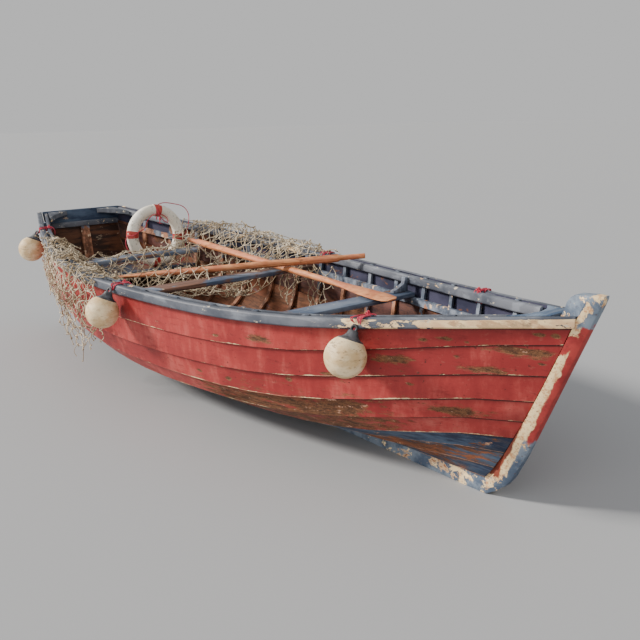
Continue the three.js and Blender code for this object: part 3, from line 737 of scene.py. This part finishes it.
# The cone above the shoulder: how far each step goes up and how much it draws in
CONE_STEPS = ((0.005, 0.98), (0.006, 0.78), (0.010, 0.76), (0.012, 0.80), (0.012, 0.88), (0.008, 0.92))


def add_fender(side, place):
    node = f"{side}_fender_{place}"
    low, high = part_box(node)
    radius = (high.x - low.x) / 2
    middle = Vector(((low.x + high.x) / 2, (low.y + high.y) / 2, low.z + radius))
    bpy.ops.object.select_all(action="DESELECT")
    bpy.ops.mesh.primitive_uv_sphere_add(segments=48, ring_count=28, radius=radius, location=middle)
    ball = bpy.context.object
    ball.name = f"{node}_ball"
    settle(ball)
    ball.data.materials.append(FENDER_FINISHES[place])
    ball.data.materials.append(CONE_FINISH)
    start_editing(ball)
    shoulder = level = middle.z + radius * FENDER_SHOULDER
    select_faces(ball, lambda centre: centre.z > shoulder)
    for lift, shrink in CONE_STEPS:
        bpy.ops.mesh.extrude_region_move(TRANSFORM_OT_translate={"value": (0, 0, lift)})
        level += lift
        pivot = (middle.x, middle.y, level)
        bpy.ops.transform.resize(value=(shrink, shrink, 0.72), center_override=pivot)
    stop_editing()
    for face in ball.data.polygons:
        face.material_index = 1 if face.center.z > shoulder else 0
    top = max(v.co.z for v in ball.data.vertices)
    bpy.ops.object.select_all(action="DESELECT")
    bpy.ops.mesh.primitive_torus_add(
        location=(middle.x, middle.y, top + 0.009), rotation=(math.pi / 2, 0, 0.3),
        major_radius=FENDER_EYE, minor_radius=0.007, major_segments=28, minor_segments=12)
    eye = bpy.context.object
    settle(eye)
    eye.data.materials.append(FENDER_FINISHES[place])
    eye.data.materials.append(CONE_FINISH)
    for face in eye.data.polygons:
        face.material_index = 1
    bpy.ops.object.select_all(action="DESELECT")
    ball.select_set(True)
    eye.select_set(True)
    bpy.context.view_layer.objects.active = ball
    bpy.ops.object.join()
    lean = Matrix.Rotation(SIDES[side] * FENDER_LEAN, 4, "X")
    hang = Matrix.Translation(middle) @ lean @ Matrix.Translation(-middle)
    ball.matrix_world = hang
    settle(ball)
    smooth(ball, 50)
    hand_in(ball, "fender_plastic", node)
    return hang @ Vector((middle.x, middle.y, top + 0.012))


# ---------------------------------------------------------------- cords

CORD_RADIUS = 0.0032


def add_cord(name, runs, radius=CORD_RADIUS):
    """Round cord along each run of points, all in one piece."""
    curve = bpy.data.curves.new(name, "CURVE")
    curve.dimensions = "3D"
    curve.bevel_depth = radius
    curve.bevel_resolution = 3
    curve.use_fill_caps = True
    curve.resolution_u = 6
    for run in runs:
        spline = curve.splines.new("BEZIER")
        spline.bezier_points.add(len(run) - 1)
        for point, place in zip(spline.bezier_points, run):
            point.co = place
            point.handle_left_type = point.handle_right_type = "AUTO"
    piece = bpy.data.objects.new(name, curve)
    bpy.context.scene.collection.objects.link(piece)
    select_only(piece)
    bpy.ops.object.convert(target="MESH")
    piece = bpy.context.object
    bpy.ops.object.shade_smooth()
    piece.data.materials.append(CORD_FINISH)
    return piece


def lash_fender(side, place, eye):
    """Cord from the fender's eye over the gunwale, round the inwale and back, with a knot on top."""
    sign = SIDES[side]
    rng = random.Random(f"{side}{place}")
    runs = []
    for spread in (-0.022, 0.018, 0.030):
        x = eye.x + spread + rng.uniform(-0.006, 0.006)
        edge, top = half_breadth(x), sheer(x)

        def at(inboard, rise, shift=0.0):
            return (x + shift, sign * (edge - inboard), top + rise)

        runs.append([
            (eye.x, eye.y + sign * 0.004, eye.z - 0.006),
            (eye.x + spread * 0.4, eye.y - sign * 0.03, eye.z + 0.006),
            at(-0.004, 0.000), at(0.012, 0.006), at(0.045, 0.006), at(0.075, 0.006), at(0.101, 0.001),
            at(0.103, -0.035, 0.004), at(0.085, -0.064, 0.006), at(0.060, -0.035, 0.008),
            at(0.052, 0.004, 0.009), at(0.030, 0.008, 0.009), at(0.002, 0.002, 0.007),
            (eye.x + spread * 0.3, eye.y - sign * 0.02, eye.z - 0.002),
            (eye.x, eye.y + sign * 0.006, eye.z - 0.010),
        ])
    knot_x, knot_y = eye.x + 0.002, sign * (half_breadth(eye.x) - 0.085)
    knot_z = sheer(eye.x) + 0.010
    for lean in (0.2, 1.3, 2.2):
        turns = Euler((lean, 0.6 * lean, lean * 1.7))
        loop = []
        for step in range(9):
            angle = step / 8 * 2 * math.pi * 0.98
            spot = Vector((0.015 * math.cos(angle), 0.010 * math.sin(angle), 0))
            spot.rotate(turns)
            loop.append(Vector((knot_x, knot_y, knot_z)) + spot)
        runs.append(loop)
    tail = [
        (knot_x, knot_y, knot_z), (knot_x + 0.03, knot_y - sign * 0.02, knot_z - 0.004),
        (knot_x + 0.045, knot_y - sign * 0.032, knot_z - 0.03),
        (knot_x + 0.05, knot_y - sign * 0.03, knot_z - 0.07),
    ]
    runs.append(tail)
    hand_in(add_cord(f"{side}_fender_{place}_lashing", runs), "lashing_cord")


# ---------------------------------------------------------------- life ring

RING_TILT = math.pi / 2 - 0.06
RING_BANDS = 4
BAND_TURN = math.radians(-7)
BAND_HALF_WIDTH = 0.030
RING_TUBE = 0.053

# Angle round the ring in quarter turns, radius and distance off its plane
GRAB_LINE = [
    (0.0, 0.296, 0.004), (0.25, 0.330, 0.030), (0.55, 0.345, 0.040), (0.80, 0.320, 0.020),
    (1.0, 0.296, 0.004), (1.20, 0.340, 0.030), (1.45, 0.392, 0.035), (1.70, 0.345, 0.020),
    (1.95, 0.296, 0.004), (2.05, 0.240, 0.062), (1.80, 0.150, 0.070), (1.62, 0.165, 0.060),
    (2.10, 0.205, 0.066), (2.45, 0.178, 0.055), (2.70, 0.150, 0.040), (2.90, 0.205, 0.058),
    (3.0, 0.250, 0.058), (3.05, 0.300, 0.010), (3.5, 0.312, 0.030), (4.0, 0.296, 0.004),
]


def add_life_ring():
    low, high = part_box("life_ring")
    middle = (low + high) / 2
    radius = (high.y - low.y) / 2 - RING_TUBE
    bpy.ops.object.select_all(action="DESELECT")
    bpy.ops.mesh.primitive_torus_add(
        major_radius=radius, minor_radius=RING_TUBE, major_segments=120, minor_segments=32)
    ring = bpy.context.object
    ring.name = "life_ring_body"
    ring.data.materials.append(RING_FINISH)
    ring.data.materials.append(BAND_FINISH)
    half_angle = BAND_HALF_WIDTH / radius

    def on_band(centre):
        angle = math.atan2(centre.y, centre.x) - BAND_TURN
        step = 2 * math.pi / RING_BANDS
        return abs((angle + step / 2) % step - step / 2) < half_angle

    start_editing(ring)
    select_faces(ring, on_band)
    ring.active_material_index = 1
    bpy.ops.object.material_slot_assign()
    bpy.ops.mesh.extrude_region_shrink_fatten(TRANSFORM_OT_shrink_fatten={"value": 0.003})
    stop_editing()
    place = Matrix.Translation(middle) @ Matrix.Rotation(RING_TILT, 4, "Y")
    ring.matrix_world = place
    settle(ring)
    smooth(ring, 40)
    hand_in(ring, "ring_plastic", "life_ring")

    points = []
    for quarter, out, off in GRAB_LINE:
        angle = BAND_TURN + quarter * math.pi / 2
        points.append(place @ Vector((out * math.cos(angle), out * math.sin(angle), off)))
    hand_in(add_cord("life_ring_grab_line", [points], 0.004), "lashing_cord")


# ---------------------------------------------------------------- fishing net

TWINE = 0.0034
KNOT = 0.0098
NET_SEED = 1
STRAND_SIDES, STRAND_STEPS = 3, 4
SHORTEST_STRAND, LONGEST_STRAND = 0.004, 0.24


class Net:
    """Strands and knots gathered into one mesh."""

    def __init__(self, seed):
        self.points, self.faces = [], []
        self.rng = random.Random(seed)

    def strand(self, start, end, slack):
        along = end - start
        length = along.length
        if length < SHORTEST_STRAND or length > LONGEST_STRAND:
            return
        side = along.cross(Vector((0.3, 0.2, 1))).normalized()
        rise = side.cross(along).normalized()
        bend = side * self.rng.uniform(-slack, slack) + rise * self.rng.uniform(-slack, slack * 0.5)
        twist = self.rng.uniform(0, 2)
        base = len(self.points)
        for step in range(STRAND_STEPS + 1):
            share = step / STRAND_STEPS
            centre = start + along * share + bend * (4 * share * (1 - share)) * length
            for corner in range(STRAND_SIDES):
                angle = twist + corner * 2 * math.pi / STRAND_SIDES
                self.points.append(centre + (side * math.cos(angle) + rise * math.sin(angle)) * TWINE)
        end_ring = base + STRAND_STEPS * STRAND_SIDES
        for ring in range(base, end_ring, STRAND_SIDES):
            for corner in range(STRAND_SIDES):
                a, b = ring + corner, ring + (corner + 1) % STRAND_SIDES
                self.faces.append((a, b, b + STRAND_SIDES, a + STRAND_SIDES))
        self.faces.append(tuple(range(base + STRAND_SIDES - 1, base - 1, -1)))
        self.faces.append(tuple(range(end_ring, end_ring + STRAND_SIDES)))

    def knot(self, place, size=KNOT):
        turn = Euler([self.rng.uniform(0, 3) for _ in range(3)])
        base = len(self.points)
        for axis in ((1, 0, 0), (0, 1, 0), (-1, 0, 0), (0, -1, 0), (0, 0, 1.3), (0, 0, -1.3)):
            spot = Vector(axis) * size * self.rng.uniform(0.8, 1.15)
            spot.rotate(turn)
            self.points.append(place + spot)
        for i in range(4):
            j = (i + 1) % 4
            self.faces.append((base + i, base + j, base + 4))
            self.faces.append((base + j, base + i, base + 5))

    def lay(self, rows, columns, place, slack, torn, crumple, shift, ends=0.0):
        """A layer of diamond meshes on the surface that place(down, along) gives.

        Slack bends the strands, torn is the share of knots that are missing, crumple is how far
        knots stray, and ends is the share of the lower edge's knots with a torn end of twine.
        """
        knots = {}
        for row in range(rows):
            for column in range(columns):
                along = (column + 0.5 * (row % 2)) / columns
                spot = place(row / (rows - 1), along)
                if self.rng.random() < torn:
                    continue
                stir = noise.noise_vector(spot * 7 + Vector((shift, shift, shift))) * crumple * 1.6
                stir += noise.noise_vector(spot * 19 + Vector((shift, 0, -shift))) * crumple
                knots[row, column] = spot + stir
        for (row, column), spot in knots.items():
            self.knot(spot)
            for next_column in (column, column - 1) if row % 2 == 0 else (column, column + 1):
                below = knots.get((row + 1, next_column))
                if below is not None:
                    self.strand(spot, below, slack)
            if (row + 1, column) not in knots and self.rng.random() < ends:
                self.fringe(spot, self.rng.uniform(0.03, 0.09))

    def fringe(self, place, fall):
        """A torn end of twine with a knot on it."""
        end = place + Vector((self.rng.uniform(-0.02, 0.02), self.rng.uniform(-0.015, 0.015), -fall))
        self.strand(place, end, 0.25)
        self.knot(end, KNOT * 0.8)

    def build(self, name, material, *replaced):
        mesh = bpy.data.meshes.new(name)
        mesh.from_pydata([tuple(p) for p in self.points], [], self.faces)
        mesh.validate()
        mesh.materials.append(material)
        piece = bpy.data.objects.new(name, mesh)
        bpy.context.scene.collection.objects.link(piece)
        select_only(piece)
        bpy.ops.object.shade_smooth()
        return hand_in(piece, "net_twine", *replaced)


def curve_through(points, share):
    """A point on the smooth line through the points, at a share of its length."""
    steps = [0.0]
    for a, b in zip(points, points[1:]):
        steps.append(steps[-1] + (Vector(b) - Vector(a)).length)
    target = share * steps[-1]
    return Vector([float(np.interp(target, steps, [p[axis] for p in points])) for axis in range(3)])


NET_AFT, NET_FORE = -1.95, -0.30
NET_STATIONS = (-1.95, -1.50, -1.00, -0.70, -0.30)
NET_REACH = (0.30, 0.40, 0.58, 0.60, 0.40)


def curtain_place(layer, aft, share):
    """The net outside the starboard quarter: over the gunwale and down, longest towards its forward end."""

    def place(down, along):
        x = aft + (NET_FORE - aft) * along + 0.05 * math.sin(9 * down + layer)
        edge, top = half_breadth(x), sheer(x)
        reach = float(np.interp(x, NET_STATIONS, NET_REACH))
        reach += 0.07 * noise.noise(Vector((x * 3.1, layer * 3.7, 0)))
        path = [
            (x, -(edge - 0.24), top - 0.06), (x, -(edge - 0.12), top + 0.008),
            (x, -(edge - 0.04), top + 0.012), (x, -(edge + 0.012), top + 0.002),
            (x, -(edge + 0.026), top - 0.08), (x, -(edge + 0.020), top - 0.25),
            (x, -(edge + 0.004), top - max(reach * share, 0.27)),
        ]
        return curve_through(path, down)

    return place


def thwart_heights():
    boards = [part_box(f"{name}_thwart") for name in ("aft", "middle")]
    return [((low.x + high.x) / 2, (high.x - low.x) / 2, high.z) for low, high in boards]


THWARTS = thwart_heights()


# The net inside the boat: the heap's height and swell, and how steeply it falls off the seats and the side
HEAP_HEIGHT, HEAP_SWELL = 0.30, 0.05
THWART_FALL, SIDE_FALL = 1.3, 1.05


def bed_height(x, y):
    """The lowest height for the net inside the boat: the heap, raised over the seats and the side."""
    inner = half_breadth(x) - 0.11
    height = HEAP_HEIGHT + HEAP_SWELL * math.sin(x * 5 + y * 3)
    for middle, half, top in THWARTS:
        away = max(abs(x - middle) - half, 0)
        height = max(height, top + 0.012 - away * THWART_FALL)
    wall = sheer(x) + 0.015 - max(inner - abs(y), 0) * SIDE_FALL
    return max(height, wall)


def bed_place(layer, aft, fore, starboard, port, lift):
    def place(down, along):
        y = starboard + (port - starboard) * down
        x = aft + (fore - aft) * along + 0.10 * math.sin(y * 4 + layer)
        edge = half_breadth(x)
        if y > edge + 0.02:
            return Vector((x, edge + 0.030, sheer(x) - (y - edge)))
        swell = noise.noise(Vector((x * 2.6, y * 2.6, layer * 5.0)))
        return Vector((x, y, bed_height(x, y) + lift + max(swell, -0.1) * 0.10))

    return place


def over_oar_place(down, along):
    """A few meshes lying over the after half of the crossed oar."""
    start, end = Vector((-0.40, 0.05, 0.0)), Vector((-1.12, -0.62, 0.0))
    across = Vector((-0.68, 0.73, 0.0))
    spot = start + (end - start) * along + across * (down - 0.5) * 0.42
    spot.z = 0.575 - 0.12 * along - 0.35 * (down - 0.5) ** 2
    return spot


def tail_place(x, wide, drop):
    """A torn tail of net hanging inside the port side."""

    def place(down, along):
        spread = (along - 0.5) * wide * (1 - 0.55 * down)
        edge, top = half_breadth(x), sheer(x)
        return Vector((x + spread + 0.10 * down, edge - 0.17 - 0.14 * down, top - 0.08 - drop * down))

    return place


def port_place(layer, aft, fore):
    """The net humped along the port gunwale, from inside the boat to just outside it."""

    def place(down, along):
        x = aft + (fore - aft) * along
        edge, top = half_breadth(x), sheer(x)
        hump = max(noise.noise(Vector((x * 3.3, layer * 2.3, 1.0))), 0) * 0.12 * math.sin(math.pi * along)
        hump += 0.09 * math.exp(-((x + 1.3) / 0.35) ** 2) * (1 - 0.3 * layer)
        path = [
            (x, edge - 0.42, top - 0.16), (x, edge - 0.26, top - 0.03 + hump * 0.5),
            (x, edge - 0.10, top + 0.02 + hump), (x, edge - 0.02, top + 0.015 + hump * 0.8),
            (x, edge + 0.02, top - 0.05), (x, edge + 0.02, top - 0.14),
        ]
        return curve_through(path, down)

    return place


def add_net():
    noise.seed_set(NET_SEED)
    outside = Net(11)
    outside.lay(19, 14, curtain_place(0, NET_AFT, 1.0), 0.20, 0.03, 0.024, 0.0, 0.5)
    outside.lay(15, 12, curtain_place(1, -1.72, 0.78), 0.20, 0.05, 0.030, 3.3, 0.4)
    outside.lay(10, 11, curtain_place(2, -1.60, 0.30), 0.20, 0.06, 0.030, 6.6, 0.3)
    outside.build("net_over_the_quarter", TWINE_FINISH, "net_curtain")

    inside = Net(23)
    inside.lay(28, 13, bed_place(0, -2.0, -0.35, -0.80, 0.95, 0.004), 0.14, 0.07, 0.02, 1.0)
    inside.lay(21, 9, bed_place(1, -1.70, -0.50, -0.72, 0.60, 0.020), 0.16, 0.10, 0.03, 5.0)
    inside.lay(13, 8, bed_place(2, -1.15, -0.10, 0.30, 0.98, 0.030), 0.16, 0.12, 0.03, 9.0)
    inside.lay(6, 10, over_oar_place, 0.14, 0.05, 0.012, 2.0, 0.4)
    inside.lay(8, 4, tail_place(0.02, 0.44, 0.40), 0.18, 0.04, 0.02, 4.0, 0.9)
    inside.lay(6, 4, tail_place(-0.42, 0.40, 0.26), 0.18, 0.04, 0.02, 7.0, 0.9)
    inside.build("net_inside", TWINE_FINISH, "net_heap")

    over_port = Net(37)
    for layer, spread in enumerate((0.0, 0.12)):
        place = port_place(layer, -1.95 + spread, 0.14 - spread)
        over_port.lay(12, 16, place, 0.20, 0.08, 0.03, layer * 4.1, 0.3)
    over_port.build("net_over_the_port_side", TWINE_FINISH)


# ---------------------------------------------------------------- putting it together

RUBBED = {4: 0.34, 5: 0.46, 6: 0.08, 7: 0.0, 8: 0.0}
PLANK_OUTSIDE = {
    1: bottom_paint("bottom_paint_low", 3.1, 0.03),
    2: bottom_paint("bottom_paint_worn", 7.3, 0.10),
    3: bottom_paint("bottom_paint_high", 11.9, 0.01),
}
for number in STRAKES:
    if number >= FIRST_RED_STRAKE:
        PLANK_OUTSIDE[number] = topside_paint(f"topside_paint_{number}", number * 2.7, RUBBED[number])
PLANK_INSIDE = {number: inner_planking(f"inner_plank_{number}", number * 3.3, 0.0) for number in STRAKES}
PLANK_INSIDE[8] = inner_planking("inner_plank_blue", 4.4, 1.0)
PLANK_INSIDE[7] = inner_planking("inner_plank_part_blue", 6.1, 0.35)
PLACES = ("aft", "middle", "forward")
FENDER_FINISHES = {place: fender_plastic(f"fender_{place}", n * 5.0) for n, place in enumerate(PLACES)}
CONE_FINISH = fender_cone("fender_cone")
CORD_FINISH = lashing_cord("lashing_cord")
RING_FINISH = ring_plastic("ring_plastic")
BAND_FINISH = ring_band("ring_band")
TWINE_FINISH = net_twine("net_twine", 1.0)

add_camera()
add_studio()

for side in SIDES:
    for number in STRAKES:
        dress_strake(side, number)

outwale_finish = grey_blue_paint("outwale_paint", 2.0, chips_low=0.660, painted_shade=1.0, to_bow=0.30)
# The inwale and the fittings inside the boat get painted shade: the same grey-blue, made darker.
inwale_finish = grey_blue_paint("inwale_paint", 8.0, chips_low=0.600, painted_shade=0.95)
fitting_finish = grey_blue_paint("fitting_paint", 5.0, chips_low=0.64, painted_shade=0.8)
rib_finish = rib_paint("rib_paint")
for side in SIDES:
    dress(f"{side}_outwale", "gunwale_paint", outwale_finish, 0.004)
    dress(f"{side}_inwale", "gunwale_paint", inwale_finish, 0.004)
    dress(f"{side}_quarter_knee", "gunwale_paint", fitting_finish, 0.004)
    dress(f"{side}_frames", "frame_wood", rib_finish)
    for place in ("middle", "forward"):
        dress(f"{side}_{place}_thwart_knee", "frame_wood", rib_finish, 0.004)
hook_finish = seat_paint("breasthook_paint", 2.0, rgb(120, 136, 156), SLATE_BLUE, -0.06)
dress("breasthook", "gunwale_paint", hook_finish, 0.005)
dress("transom_ledge", "transom_paint", inwale_finish, 0.003)
dress("transom_post", "transom_paint", rib_finish, 0.003)
transom_finish = seat_paint("transom_paint", 9.0, rgb(84, 98, 118), rgb(46, 60, 84), -0.02)
transom = dress("transom", "transom_paint", transom_finish, 0.004)
transom.data.materials.append(inner_transom_paint("transom_paint_inside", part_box("transom_ledge")[0].z))
for face in transom.data.polygons:
    face.material_index = 1 if face.normal.x > 0.5 else 0
dress("keel", "bottom_paint", keel_paint("keel_paint"), 0.004)
dress("stem_post", "stem_paint", stem_paint("stem_paint"), 0.003)

thwart_finish = seat_paint("thwart_paint", 4.0, SEAT_BLUE, SEAT_BLUE_DARK, 0.0)
for name in ("aft", "forward"):
    dress(f"{name}_thwart", "thwart_paint", thwart_finish, 0.005)
worn_finish = seat_paint("middle_thwart_paint", 13.0, SEAT_BLUE, SEAT_BLUE_DARK, 0.13)
dress("middle_thwart", "thwart_paint", worn_finish, 0.005)
bench_finish = seat_paint("bench_paint", 6.0, rgb(84, 96, 116), rgb(46, 56, 78), 0.04)
dress("stern_bench", "thwart_paint", bench_finish, 0.004)
floor_finish = seat_paint("floor_paint", 7.0, rgb(64, 92, 126), rgb(34, 52, 82), -0.02)
for name in ("centre", "port", "starboard"):
    dress(f"{name}_floor_board", "floor_paint", floor_finish, 0.003)
for name, shift in (("crossed_oar", 1.0), ("long_oar", 6.0)):
    dress(name, "oar_wood", oar_wood(f"{name}_wood", shift))

for side in SIDES:
    for place in PLACES:
        lash_fender(side, place, add_fender(side, place))
add_life_ring()
add_net()
